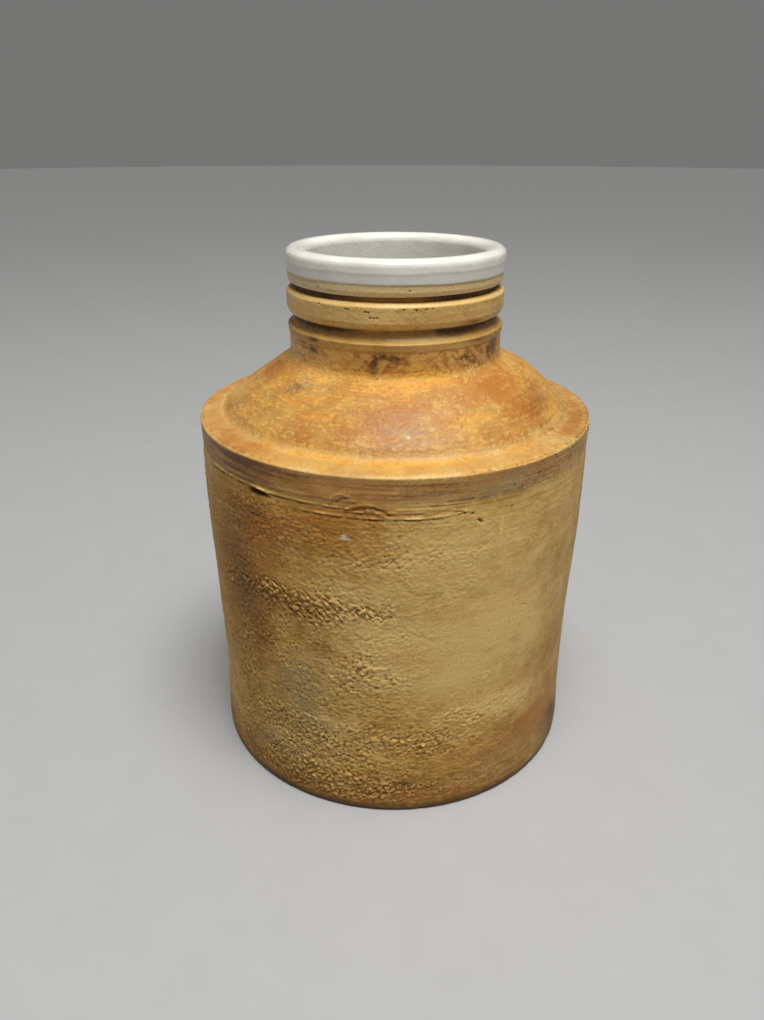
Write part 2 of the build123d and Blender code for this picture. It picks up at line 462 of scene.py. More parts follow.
pebbles = 0.7 * mottle(71, 1.4, 1.2) + 0.9 * mottle(72, 2.4, 1.8)
pebbles += 0.35 * mottle(73, 4.6, 3.0)
uneven = 0.75 + 0.6 * mottle(54, 2.6, 2.0)
lumps = domes(45, 4.3, 0.58) * smooth(0.0, 0.6, mottle(55, 12, 9))
grains = domes(41, 2.7, 0.6) * uneven
small_grains = domes(47, 1.8, 0.6) * uneven
few = smooth(-0.3, 0.5, mottle(53, 7, 6))
sparse = small_grains * smooth(-0.1, 0.4, mottle(56, 5, 4))
lift += (0.035 + 0.62 * grainy**1.6) * pebbles + 0.85 * np.clip(grainy, 0.15, 1.1) ** 2 * sparse
relief = 1.7 * lumps + 1.5 * grains * (0.15 + 0.85 * few) + 0.9 * small_grains + 0.5 * pebbles
lift += rough * (relief - 0.35)

# blisters, cut apart by clefts that run down to the right and, less, down to the left
BLISTERED = [
    (-35, 138, 19, 8, 1), (-22, 134, 17, 11, 1.1), (-8, 137, 18, 8, 0.65), (-49, 138, 15, 5, 0.45),
    (-7.5, 196, 9, 3.2, 0.45), (-2, 168, 13, 6, 0.42), (-14, 152, 14, 5, 0.3), (-30, 74, 20, 14, 0.25),
    (128, 118, 20, 9, 0.8), (-128, 66, 17, 9, 0.8), (98, 40, 16, 7, 0.6),
]
blistered = skin.blank()
spots(blistered, BLISTERED)
blistered = smooth(0.15, 0.95, blistered + 0.45 * edges * (blistered > 0.02)) * on_wall
around_pot = np.radians(AZ) * FOOT_R + 1.4 * mottle(81, 10, 8)
wavy = S + 1.2 * mottle(82, 9, 7)
falling = smooth(-0.5, 0.4, noise(61, around_pot / 3.9, (wavy + 0.55 * around_pot) / 1.9))
rising = smooth(-0.5, 0.4, noise(63, around_pot / 3.9, (wavy - 0.45 * around_pot) / 2.0))
lift += blistered * (1.5 * falling * (0.35 + 0.65 * rising) + 0.28 * pebbles - 0.65)

# fine graininess on the shoulder and neck, and slow waves in the glaze
peel = mottle(76, 1.9, 1.9)
lift += (0.06 * pebbles + 0.05 * peel) * on_shoulder + 0.04 * pebbles * on_neck
crust = between(241, 245, 249, 253) * outside
crust += 0.3 * near(R, 98.5, 1.6) * on_shoulder
crust += near(S, at_z(213.1), 1.5) * smooth(-14, 26, AZ) * body_side
lift += 0.16 * crust * mottle(77, 2.2, 1.7)
lift += (0.008 * peel + 0.02 * mottle(74, 7, 7)) * on_glaze

# a few lumps, and ripples that run across the wall
LUMPS = [
    (-54, 131, 2.4, 1.7, 1, 30), (-6, 51, 2.4, 1.8, 0.8), (-21, 61, 3.4, 1.8, 0.7, 15),
    (-27, 39, 3, 1.4, 0.7, 35), (-44, 87, 4.5, 2.2, 0.4), (-5, 101, 6, 0.9, 0.45, 6),
    (-9, 103, 1.6, 1.4, 0.5), (-57, 176.5, 3, 0.7, 0.5, 10), (-53, 178, 3.6, 0.7, 0.5),
    (-51, 93, 2.4, 1.6, 0.5), (-36, 59, 4, 1.3, 0.6, 40), (8.5, 98, 1, 1, 0.4),
]
spots(lift, LUMPS)
scatter(46, [lift], (62, 298), (8, 175), (0.9, 3.2), (0.4, 0.9), (0.15, 0.4))
ripples = skin.blank()
spots(ripples, [(-5, 71, 34, 6, 1.0), (160, 90, 44, 8, 0.8)])
lift += 0.24 * np.clip(ripples, 0, 1) * mottle(75, 9, 1.6)

# the shoulder joint: lips of clay over a groove, torn open at the left and smeared in the middle
seam_wave = 0.5 * mottle(81, 22, 60)
SEAM_LINES = [
    # places (azimuth, height), half width, height of the lip over it, depth of the groove under it
    (
        [(-62, 196.4), (-52, 197), (-45, 196.9), (-36, 196.2), (-28, 195.9), (-12, 195.4)],
        0.5, 0.28, 0.42,
    ),
    (
        [(-30, 191.6), (-18, 191.3), (-6, 190.9), (6, 190.9), (12, 191.4), (17, 192.8)],
        0.5, 0.35, 0.5,
    ),
    ([(-14, 194.2), (-6, 193.7), (4, 194.1), (12, 194.9), (16, 193.7), (19, 191.9)], 0.5, 0.35, 0.35),
    ([(62, 196.6), (78, 196.2), (96, 197), (118, 196.4), (131, 196.8)], 0.55, 0.32, 0.45),
    ([(-176, 195.8), (-158, 196.5), (-140, 195.9), (-121, 196.6), (-98, 196.1)], 0.55, 0.38, 0.5),
    ([(142, 192), (152, 191.6), (166, 192.1)], 0.5, 0.3, 0.4),
    ([(-134, 192.3), (-122, 191.9), (-112, 192.2)], 0.5, 0.3, 0.4),
]
for places, width, out, depth in SEAM_LINES:
    stroke(lift, places, 0.8 * width, out, 0.8, 0.65)
    stroke(lift, places, 0.8 * width, -depth, 0.6, -0.4)

CRUMPLED = [
    # places, half width, height: ridges and furrows between the lines
    ([(-16.8, 198.2), (-16.4, 200.6), (-15.4, 202.6), (-13.6, 203.3), (-12, 202.4)], 0.7, 0.5),
    ([(-15.2, 198.6), (-14, 200.6), (-12.6, 201.4)], 0.7, -0.6),
    ([(-12.5, 196), (-9.8, 198), (-7, 198.6), (-5, 197.4)], 0.6, 0.42),
    ([(-11.5, 194.6), (-9, 196.4), (-6.2, 196.9)], 0.6, -0.6),
    ([(-7.5, 195.4), (-5.2, 194.6), (-3.4, 192.8)], 0.5, 0.4),
    ([(-6, 197), (-3.8, 195.6), (-2, 193.2)], 0.55, -0.65),
    ([(-13.5, 204.4), (-6, 205), (0, 204.6)], 0.8, 0.18),
    ([(0, 196), (6, 196.4), (11, 195.8)], 0.7, 0.25),
]
for places, width, out in CRUMPLED:
    stroke(lift, places, width, out)

# fine lines scratched by the wheel just under the edge, and where the joint was wiped
scratched = between(205.5, 208.5, 211.4, 212.2) * body_side
WIPED = [(-24, 183, 42, 13), (-30, 168, 34, 6), (20, 199, 50, 3), (150, 184, 60, 10), (-130, 186, 50, 9)]
wiped = skin.blank()
spots(wiped, WIPED)
wiped = np.clip(wiped, 0, 1) * on_wall
lift += wiped * (0.16 * mottle(87, 30, 1.1) + 0.12 * mottle(89, 9, 1.2))
lift += 0.13 * scratched * mottle(86, 40, 0.9)

# where the lip has come away from the wall: a pocket with a roof over it
POCKET = [
    (-38.8, 194.9, 4.6, 1.35, -3.6, -3), (-36.2, 194.6, 4.2, 0.7, -0.9, -6),
    (-37.6, 197.2, 7, 0.8, 0.9, -6), (-35, 195.7, 2.6, 0.6, 0.6, -12), (-37.6, 193, 5.5, 0.8, 0.25),
]
spots(lift, POCKET)

PITS = [
    (19, 191.7, 0.8, 0.7, -0.8), (21.2, 187, 1.7, 0.75, -1.3, -42), (30.5, 191, 0.7, 0.5, -0.6),
    (-36.6, 54.5, 3.2, 0.8, -0.9, 42), (-15, 45, 0.7, 3.4, -0.8, -10), (-19, 82, 0.8, 0.8, -0.6),
    (3, 20, 1.8, 1, -0.7), (37.7, 128, 0.7, 0.6, -0.6), (39, 127, 0.6, 0.6, -0.6),
    (26, 118.5, 0.5, 0.5, -0.5), (20.5, 154, 1.2, 0.5, -0.4, 40), (37.5, 153, 0.5, 2.4, -0.3),
]
spots(lift, PITS)
scatter(26, [lift], (60, 300), (10, 208), (0.5, 1.3), (0.5, 1), (0.3, 0.9), -1)
spot(lift, 27.5, at_z(178), 0.45, 8, 0.12)

# the shoulder leans a little: fuller on the right than on the left
lift += 1.1 * skin.sine * smooth(219, 232, Z) * (1 - smooth(236, 243, Z)) * (R < 99)
lift += 0.35 * mottle(84, 30, 30) * on_shoulder * smooth(214, 218, Z)

# pits and nicks in the neck
NECK_PITS = [
    (-25, 280.5, 0.7, 0.35, -0.6), (-23.6, 280.4, 0.5, 0.3, -0.5), (-15, 279.7, 0.9, 0.35, -0.7),
    (-13.4, 279.6, 0.4, 0.3, -0.5), (-12.6, 276.8, 0.45, 0.4, -0.7), (-11, 276.7, 0.45, 0.4, -0.7),
    (-9.4, 276.9, 0.45, 0.4, -0.7), (3, 281, 0.6, 0.4, -0.6), (9, 280.8, 0.6, 0.4, -0.6),
    (14, 281, 0.9, 0.35, -0.6), (17, 281, 0.5, 0.35, -0.5), (-41, 281.6, 0.8, 0.4, -0.6),
    (-42, 289.5, 0.6, 0.4, -0.5), (6, 290, 0.5, 0.4, -0.5),
]
spots(lift, NECK_PITS)
stroke(lift, [(9.0, 281.0), (9.4, 278.4), (8.4, 275.6), (8.6, 273.0)], 0.3, -0.35)
for _ in range(40):
    az, z = pick(52, 308), chance.choice([276.5, 279.6, 281.0, 289.5, 255.0, 262.0])
    z += pick(-0.8, 0.8)
    spot(lift, az, at_z(z), pick(0.3, 0.9), 0.35, -pick(0.2, 0.6))

# chips along the shoulder's edge and the foot
CHIPS = [(30, 212.7, (0.6, 2.4), 0.5, (0.1, 0.35)), (26, 2.2, (0.8, 2.6), 1.0, (0.15, 0.5))]
for count, z, widths, height, depths in CHIPS:
    for _ in range(count):
        az = pick(-180, 180)
        spot(lift, az, at_z(z), pick(*widths), height, -pick(*depths))

# the bead is sharpest along its top, and the glaze is thickest round the lip
lift += 0.35 * near(Z, 263.2, 0.8) * (R > NECK_R - 3) * on_clay
lift -= 0.2 * near(Z, 260.2, 0.9) * (R > NECK_R - 3) * on_clay
roll_z = DIP_Z + 5.2 + 0.5 * noise(88, X / 25, Y / 25, 0)
lift += 0.22 * smooth(-0.8, 0.8, Z - roll_z) * lip_face

lift = lift.astype(np.float32)
# hollows are positive and tops negative: quarters of a millimetre below the skin around them
# the clay materials darken the hollows and lighten the tops by this mask: painted shade and painted light
hollow = (blurred(lift, 9 if COARSE == 1 else 3) - lift) / 0.25

# ---- colour, as masks from 0 to 1

mottled = mottle(101, 26, 16, 4)
clouds = mottle(111, 60, 40, 3)
streaks = mottle(121, 40, 2.6, 3, S)
pale = 0.28 + 0.28 * clouds + 0.1 * mottled
rust = 0.1 + 0.2 * mottle(131, 40, 26, 3)
brown = 0.02 + 0.06 * streaks
ash = 0.02 + 0.1 * mottle(141, 36, 28, 3)
gold = skin.blank()
chalk = skin.blank()

# wall: paler, redder, browner and greyer places
WALL_MARKS = [
    (pale, [
        (20, 118, 48, 46, 0.66), (38, 130, 26, 44, 0.2), (-4, 112, 26, 40, 0.22), (-14, 150, 20, 6, 0.25),
        (27, 94, 16, 12, 0.3), (50, 156, 12, 16, 0.15), (14, 180, 40, 18, 0.3), (-2, 168, 20, 10, 0.3),
        (30, 64, 30, 10, 0.45), (-8, 130, 26, 10, 0.2), (-44, 156, 26, 36, -0.42),
        (-50, 80, 30, 60, -0.26), (60, 150, 30, 50, 0.18), (-52, 176.5, 7, 1.2, 0.8, 4),
        (-54, 131, 2.2, 1.6, 0.7, 20), (27.5, 178, 0.7, 9, 0.6), (-20, 60, 14, 4, 0.4),
    ]),
    (rust, [
        (-24, 182, 40, 12, 0.4), (-40, 164, 24, 24, 0.44), (-48, 120, 22, 50, 0.22),
        (-46, 187, 22, 9, 0.32), (-52, 142, 18, 20, 0.25), (-60, 150, 12, 40, 0.2),
        (-5, 190, 30, 5, 0.18), (-6, 194.5, 13, 3.2, 0.55), (-42, 116, 12, 26, 0.3),
        (-58, 110, 12, 40, 0.25), (-25, 133, 26, 9, 0.35), (4, 46, 22, 7, 0.3), (2, 22, 46, 12, 0.3),
        (40, 36, 44, 13, 0.3), (58, 66, 16, 44, 0.3), (44, 24, 20, 16, 0.15), (45, 42, 10, 3, 0.2),
        (-6, 106, 22, 10, 0.2), (-66, 120, 12, 40, 0.25), (50, 150, 22, 44, 0.08), (0, 10, 90, 9, 0.2),
    ]),
    (brown, [
        (-32, 175, 30, 8, 0.24), (-48, 158, 26, 34, 0.4), (-50, 110, 24, 56, 0.34),
        (-36, 34, 34, 30, 0.12), (-46, 186, 22, 8, 0.16), (-14, 66, 60, 60, 0.05), (36, 34, 46, 16, 0.22),
        (62, 70, 18, 60, 0.16), (-22, 196.5, 34, 1.6, 0.3), (-7, 195.5, 9, 3, 0.35),
        (-45, 128, 14, 14, 0.18), (-28, 134, 24, 9, 0.28), (-42, 104, 12, 16, 0.22), (2, 20, 4, 2, 0.5),
        # this line darkens the torn pocket and two pits: painted shade
        (-38.8, 194.7, 4.6, 1.5, 2.2), (21.2, 187, 1.6, 0.8, 0.8, -42), (19, 191.7, 0.9, 0.8, 0.8),
        (66, 18, 14, 14, 0.3),
    ]),
    (ash, [
        (-29, 90, 16, 18, 0.4), (-27, 62, 30, 28, 0.55), (-36, 26, 24, 14, 0.35), (-67, 134, 9, 14, 0.4),
        (-52, 40, 24, 24, 0.3), (-60, 186, 12, 14, 0.25),
    ]),
]
field_spots(WALL_MARKS)
CHALKY = [(-13.4, 180, 3.4, 0.44), (-13.2, 180.3, 1.5, 0.45), (-12.0, 179.0, 1.0, 0.5)]
for az, z, size, strength in CHALKY:
    spot(chalk, az, at_z(z), size, 0.8 * size, strength, 20)

# small brown freckles between the grains, most at the left
freckles = smooth(-0.1, 0.9, mottle(191, 1.3, 1.0) + 0.7 * mottle(192, 2.8, 1.8))
FRECKLED = [
    (-44, 160, 34, 26, 0.9), (-32, 92, 34, 34, 0.8), (-28, 30, 50, 26, 0.6), (12, 50, 30, 14, 0.6),
    (24, 132, 60, 50, 0.22), (140, 100, 70, 60, 0.5), (-130, 100, 70, 60, 0.5),
]
freckled = skin.blank()
spots(freckled, FRECKLED)
freckled = np.clip(freckled, 0, 1) * on_wall
brown += 0.34 * freckled * (freckles - 0.25)
warm = mottle(195, 8, 5, 3) * on_wall
rust += 0.13 * warm
pale -= 0.1 * warm
pale += 0.3 * freckled * smooth(0.1, 0.8, mottle(193, 1.5, 1.1))

# the unseen side of the wall has the same kinds of cloud
scatter(20, [pale, rust, ash], (75, 285), (10, 190), (12, 40), (0.4, 0.9), (0.2, 0.45))

# the band under the shoulder's edge is dark and streaked, and so is the edge of the foot
band = smooth(197.5, 200.0, Z + 0.6 * streaks + 0.5 * seam_wave)
band = band * (1 - smooth(211.6, 212.6, Z)) * body_side
fine_streaks = mottle(123, 30, 1.3, 3, S)
brown += band * (0.22 + 0.16 * clouds + 0.15 * streaks + 0.24 * fine_streaks + 0.1 * (freckles - 0.3))
rust += band * (0.32 + 0.25 * clouds + 0.2 * fine_streaks)
ash += band * (0.24 + 0.2 * clouds)
brown += 0.34 * band * smooth(14, 40, AZ) * (freckles - 0.35)
pale += band * 0.2 * smooth(0.1, 0.8, fine_streaks)
BAND_MARKS = [
    (brown, [
        (-12, 204, 16, 3.5, -0.3), (-38, 209, 40, 3, 0.25), (24, 207, 30, 8, -0.16),
        (6, 205, 22, 4, 0.08), (60, 206, 22, 5, 0.15), (-44, 206, 34, 8, 0.36),
    ]),
    (ash, [
        (-50, 205, 18, 5, 0.16), (30, 206, 16, 5, 0.35), (24, 201, 12, 4, 0.35), (4, 206, 30, 5, 0.2),
    ]),
    (rust, [(4, 207, 22, 4, 0.22), (40, 208, 40, 4, 0.12), (-36, 207, 40, 6, 0.32)]),
    (pale, [(30, 204, 20, 6, 0.12)]),
]
field_spots(BAND_MARKS)
# darker towards the foot: partly the clay's own colour, partly painted shade
brown += 0.08 * (1 - smooth(30, 110, Z)) * body_side
brown += 0.4 * (1 - smooth(6.0, 42.0, Z + 4 * mottled)) * body_side
brown += 0.3 * wiped * fine_streaks
pale += 0.3 * wiped * fine_streaks
# darkest and reddest along the bottom edge: partly its own colour, partly a painted contact shadow
brown += 0.5 * (1 - smooth(0.5, 7.0, Z + 1.2 * mottled)) * body_side
rust += 0.25 * (1 - smooth(2.0, 18.0, Z)) * body_side

# pale lines along the joint, each with a brown line under it: a painted highlight with a painted shadow
# under it
HIGHLIGHT_SHADOW_LINES = [
    [(-52, 201.2), (-30, 200.8), (-10, 200.6)],
    [(8, 199.4), (36, 199.2), (64, 199.6)],
    [(-42, 183.2), (-28, 182.8), (-14, 183.3)],
    [(-60, 197.8), (-45, 198), (-28, 197), (-12, 196.4)],
    [(-28, 192.7), (-10, 192.1), (6, 192), (15, 193.4)],
    [(104, 197.7), (140, 197.4), (172, 198.1)],
    [(-170, 197.6), (-130, 197.2), (-96, 197.8)],
]
for places in HIGHLIGHT_SHADOW_LINES:
    stroke(pale, places, 0.5, 0.7, 0.8)
    stroke(brown, places, 0.5, 0.6, 0.7, -1.7)

# shoulder: the edge and the ledge are bright, the cone is orange, and it is yellow under the neck
ledge = between(212.4, 213.4, 216.2, 219.0) * (R > 96)
cone = between(216.5, 220.0, 244.0, 248.0) * (R < 100) * (R > 61)
edge = near(S, at_z(212.9), 0.7) * body_side
blotches = mottle(151, 16, 11, 4)
flecks = smooth(0.05, 0.65, mottle(153, 3.4, 1.3, 3))
scrapes = mottle(157, 30, 1.2, 3, S)
crumbs = smooth(0.05, 0.6, mottle(155, 2.0, 1.4))
to_side = smooth(18, 62, np.abs(AZ))
gold += ledge * (0.3 + 0.3 * blotches + 0.15 * scrapes - 0.2 * to_side)
gold += cone * (0.38 + 0.32 * blotches + 0.3 * flecks + 0.35 * scrapes)
pale += edge * 0.35 + 0.22 * ledge + cone * (0.22 * flecks + 0.2 * np.clip(scrapes, 0, 1))
rust += cone * (0.34 + 0.35 * mottle(161, 22, 14, 4) - 0.2 * flecks)
rust += ledge * (0.2 + 0.2 * to_side + 0.15 * mottle(163, 9, 3, 3))
brown += ledge * (0.1 * to_side + 0.14 * smooth(24, 62, AZ))
brown += cone * 0.15 * smooth(0.1, 0.9, mottle(171, 6, 3, 4))
brown += cone * 0.16 * np.clip(-scrapes, 0, 1)
# the ledge's inner corner is painted paler and more golden: painted highlight
corner = near(R, 101.8, 1.5) * on_shoulder * (0.7 + 0.6 * blotches)
pale += 0.45 * corner
gold += 0.35 * corner
brown += 0.17 * cone * near(R, 95.5, 3.0) * (1 - 0.5 * flecks)
EDGE_LINES = [
    ([(14, 213.2), (40, 213.4), (70, 213.2)], 0.9),
    ([(-66, 213.2), (-36, 213.3), (-16, 213.1)], 0.4),
]
for places, strength in EDGE_LINES:
    stroke(pale, places, 0.7, strength, 0.8)
    stroke(gold, places, 0.9, 0.6 * strength, 0.6)
SHOULDER_MARKS = [
    (gold, [
        (2, 64.5, 22, 4, 0.7), (2, 71, 6, 4, 0.5), (-28, 85, 12, 2, 0.6), (-50, 79, 5, 2, 0.7),
        (24, 86, 9, 8, 0.4), (-10, 69, 18, 3, 0.5), (8, 103, 50, 3.5, 0.35),
    ]),
    (pale, [(0, 64, 16, 3, 0.4), (-27, 85.5, 9, 1.2, 0.4)]),
    (rust, [
        (2, 86, 26, 13, 0.3), (60, 86, 16, 13, 0.26), (28, 74, 34, 12, 0.28), (40, 92, 26, 8, 0.25),
        (-20, 93, 40, 5, 0.16), (-78, 80, 22, 14, 0.15), (-52, 107, 44, 6, 0.25), (72, 107, 40, 6, 0.35),
    ]),
    (ash, [
        (2, 88, 26, 12, 0.35), (64, 86, 20, 13, 0.35), (-35, 90, 26, 8, 0.34), (-75, 82, 22, 14, 0.35),
        (-60, 107, 40, 6, 0.25), (74, 107, 36, 6, 0.15),
    ]),
    (brown, [
        (60, 87, 15, 11, 0.34), (-22, 95, 18, 3, 0.1), (0, 97, 30, 3, 0.12), (72, 106, 44, 7, 0.16),
    ]),
]
field_spots(SHOULDER_MARKS, at_r)

# a dark stain like a net, high on the left of the cone
WEB = [(-44, 71.5, 10, 4.5, 1, 22), (-51, 78, 10, 4, 1, 40), (-30, 70, 6, 2), (118, 80, 12, 5, 1, 20)]
web = skin.blank()
spots(web, WEB, at_r)
threads = 1 - smooth(0.02, 0.26, np.abs(mottle(187, 8, 5, 4)))
brown += web * (0.2 + 0.22 * threads)
ash += 0.3 * web
gold -= web * (0.2 + 0.2 * threads)
spot(chalk, 3.5, at_r(91.5), 1.0, 0.8, 1.3)
for _ in range(26):
    az, r = pick(66, 294), pick(64, 98)
    field = (gold, rust, ash, brown)[int(chance.integers(4))]
    width = pick(5, 20)
    spot(field, az, at_r(r), width, width * pick(0.25, 0.6), pick(0.15, 0.4))
for _ in range(90):
    az, r = pick(-180, 180), pick(66, 99)
    spot(gold, az, at_r(r), pick(1.0, 4.0), pick(0.4, 1.0), pick(0.3, 0.8))

# bright crumbs where the cone meets the ledge and where it meets the neck
crumbly = near(R, 99, 2.2) * on_shoulder + 1.2 * crust * (R < 90)
CRUMBLY = [
    (37, 101, 13, 2.2, 1.3), (-30, 86, 12, 2, 0.9), (-50, 77.5, 6, 2.2, 1.4), (-36, 78.5, 5, 1.9, 1.1),
    (-24, 73, 5, 1.6, 0.9), (8, 69.5, 13, 2.4, 1), (-62, 78, 4, 3, 0.8),
]
spots(crumbly, CRUMBLY, at_r)
pale += 0.55 * crumbly * crumbs * (0.4 + 0.6 * patchy)
gold += 0.3 * crumbly * crumbs
crumbly_edge = near(S, at_z(213.0), 1.6) * smooth(-14, 26, AZ) * body_side
pale += 1.4 * crumbly_edge * crumbs
gold += 0.5 * crumbly_edge * crumbs
brown += 0.4 * crumbly_edge * (1 - crumbs)

# neck: gold and stained below the bead, tan on the bands, dark in the grooves with stain and painted shade
lower_neck = between(244, 248, 258.5, 260) * outside
bead = between(258.5, 260.5, 263.5, 265) * outside
in_groove = (1 - smooth(NECK_R - 3.6, NECK_R - 1.6, R)) * smooth(263.5, 265.5, Z) * outside * on_clay
bands = smooth(270.6, 272, Z) * (1 - in_groove) * on_clay * outside
stained = 0.3 + 0.25 * mottle(181, 22, 40, 3)
STAINED = [
    (-46, 256, 12, 5, 0.65), (-8, 254, 14, 6, 0.75), (42, 253, 24, 8, 0.7), (-62, 252, 8, 8, 0.4),
    (110, 254, 20, 8, 0.6), (170, 254, 30, 8, 0.55), (-120, 254, 18, 8, 0.6),
]
spots(stained, STAINED)
bent = 1.6 * mottle(186, 2.6, 2.4) + 2.6 * mottle(188, 6, 5)
blots = smooth(-0.3, 0.6, layers(183, 4, (X + bent) / 6, (Y + bent) / 6, (Z - bent) / 4.5))
veins = 1 - smooth(0.02, 0.22, np.abs(layers(185, 3, (X - bent) / 5, (Y + bent) / 5, (Z + bent) / 4)))
gold += lower_neck * (0.78 - 0.4 * stained) + bead * 0.4
brown += bead * 0.28
# the lower neck is paler and less stained to the left: partly its own colour, partly painted light
to_left = smooth(8, 55, -AZ)
pale += 0.6 * lower_neck * to_left
stained -= 0.18 * to_left
rust += lower_neck * (0.26 + 0.78 * stained * blots)
brown += lower_neck * stained * (0.32 * blots + 0.42 * veins)
tan_rim = bands * smooth(285.8, 287.2, Z)
pale += lower_neck * 0.22 * (1 - blots) + bands * (0.3 + 0.15 * streaks) + 0.75 * tan_rim
chalk += 0.4 * tan_rim + 0.14 * bands * to_left
brown += bands * (0.02 + 0.1 * smooth(0.1, 0.8, mottle(189, 12, 2, 3)))
# painted shade under the upper band and under the tan rim
shade_under_bands = near(Z, 269.3, 1.3) + near(Z, 285.6, 1.0)
brown += 0.4 * shade_under_bands * on_clay * outside
rust -= bands * 0.12
sides = smooth(8, 40, np.abs(AZ + 4))
# the grooves are darker, most towards the sides: partly stain, partly painted shade
brown += in_groove * (0.1 + 0.42 * sides + 0.2 * streaks + 0.35 * sides * blots)
rust += in_groove * (0.25 + 0.4 * sides)
gold += in_groove * 0.3 * (1 - sides)
NECK_MARKS = [
    (brown, [
        (-47, 256.8, 6, 2.4, 0.65), (-11.5, 251, 2.2, 5, 0.75, -8), (-3, 256.5, 8, 1.6, 0.65),
        (38, 254, 7, 1.8, 0.35, 12), (60, 253, 7, 5, 0.35), (5.5, 254, 2, 2, 0.4),
        (-46, 262, 4, 1.2, 0.7), (45, 262, 7, 1, 0.4), (35, 266, 11, 2.5, 0.3), (42, 272, 7, 1.2, 0.6),
        (-36, 288.6, 8, 0.6, 0.6),
    ]),
    (ash, [(-2, 254.5, 7, 2.2, 0.25), (-60, 253.5, 6, 4, 0.25), (-22, 291, 4, 1.2, 0.5)]),
    (gold, [(14, 249, 14, 5, 0.35)]),
    (pale, [(8, 265.5, 16, 2.5, 0.5)]),
    (rust, [(34.5, 277.5, 3, 3, 0.36), (42, 272.5, 8, 1.5, 0.5), (-55, 277, 16, 5, 0.15)]),
]
field_spots(NECK_MARKS)
# the neck's pits are darkened: painted shade
spots(brown, [(az, z, width + 0.15, height + 0.15) for az, z, width, height, depth in NECK_PITS])
scatter(22, [brown, rust, brown], (60, 300), (247, 290), (2, 9), (0.3, 0.6), (0.3, 0.7))
# a pale line along the top edge of the upper band: painted highlight
pale += 0.5 * (near(S, at_z(282.6), 0.7) * on_clay)
brown += 0.18 * (near(Z - DIP_Z, -0.5, 0.5) * on_clay * outside)

# glaze: thin along the dip line, and greyer under the roll of the lip: painted shade
thin = near(Z, DIP_Z, 1.1) * on_glaze * outside
painted_shade_under_roll = (1 - smooth(-1.0, 1.2, Z - roll_z)) * on_glaze * lip_face

MASKS = {"pale": pale, "rust": rust, "brown": brown, "ash": ash, "gold": gold, "hollow": hollow}
MASKS.update({"thin": thin, "chalk": chalk, "painted_shade_under_roll": painted_shade_under_roll})
MASKS = {key: field.astype(np.float32) for key, field in MASKS.items()}

# the dip line wanders, higher on the left
rise = 0.25 * noise(201, skin.sine * 3, skin.cosine * 3) - 0.25 * skin.sine
rise = rise * near(Z, DIP_Z, 2.2) * outside
skin_places = skin.places(lift, rise)
skin_places[:, :, 2] = np.maximum(skin_places[:, :, 2], 0)

# ---- meshes


def ring_rows(points):
    """Plain rows turned from points (radius, height)."""
    rows = [np.stack([r * skin.sine, -r * skin.cosine, z + 0 * AZ], 2) for r, z in points]
    return np.concatenate(rows)


def mesh_piece(name, node, slot_name, rows, masks, closed, skip):
    """Makes a piece from rows of points, from its foot up its outside and then down its inside.

    A closed piece's last row joins its first. One that isn't starts and ends with a point on the axis.
    The piece takes every skip-th column."""
    rows = rows[:, ::skip]
    masks = {key: field[:, ::skip] for key, field in masks.items()}
    count, columns = rows.shape[:2]
    verts = rows.reshape(-1, 3)
    across = np.arange(columns)
    beside = (across + 1) % columns
    low = np.arange(count if closed else count - 1)[:, None] * columns
    high = (low + columns) % (count * columns)
    quads = np.stack([low + across, low + beside, high + beside, high + across], 2).ravel()
    loops = [quads]
    totals = [np.full(len(quads) // 4, 4)]
    if not closed:
        first, last = len(verts), len(verts) + 1
        ends = [[0, 0, rows[0, 0, 2]], [0, 0, rows[-1, 0, 2]]]
        verts = np.vstack([verts, ends])
        top = (count - 1) * columns
        foot = np.stack([np.full(columns, first), beside, across], 1)
        head = np.stack([np.full(columns, last), top + across, top + beside], 1)
        loops += [foot.ravel(), head.ravel()]
        totals += [np.full(2 * columns, 3)]
    corners = np.concatenate(loops).astype(np.int32)
    totals = np.concatenate(totals).astype(np.int32)
    mesh = bpy.data.meshes.new(name)
    mesh.vertices.add(len(verts))
    mesh.vertices.foreach_set("co", (verts * MM).astype(np.float32).ravel())
    mesh.loops.add(len(corners))
    mesh.loops.foreach_set("vertex_index", corners)
    mesh.polygons.add(len(totals))
    mesh.polygons.foreach_set("loop_start", np.r_[0, np.cumsum(totals)[:-1]].astype(np.int32))
    mesh.polygons.foreach_set("loop_total", totals)
    mesh.polygons.foreach_set("use_smooth", np.ones(len(totals), bool))
    mesh.update(calc_edges=True)
    for key, field in masks.items():
        values = np.zeros(len(verts), np.float32)
        values[: field.size] = field.ravel()
        mesh.attributes.new(key, "FLOAT", "POINT").data.foreach_set("value", values)
    mesh.set_sharp_from_angle(angle=math.radians(62))
    mesh.validate()
    mesh.materials.append(MATERIALS[slot_name])
    piece = bpy.data.objects.new(name, mesh)
    bpy.context.scene.collection.objects.link(piece)
    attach(piece, BODY)
    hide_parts(node)


def skin_piece(name, node, slot_name, closing, skip=1):
    """A piece of the skin, closed by rows turned from points inside it."""
    first, last = rows_of[node]
    rows = np.concatenate([skin_places[first:last], ring_rows(closing)])
    masks = {key: field[first:last] for key, field in MASKS.items()}
    mesh_piece(name, node, slot_name, rows, masks, True, skip)


# ---- materials, with linear colours

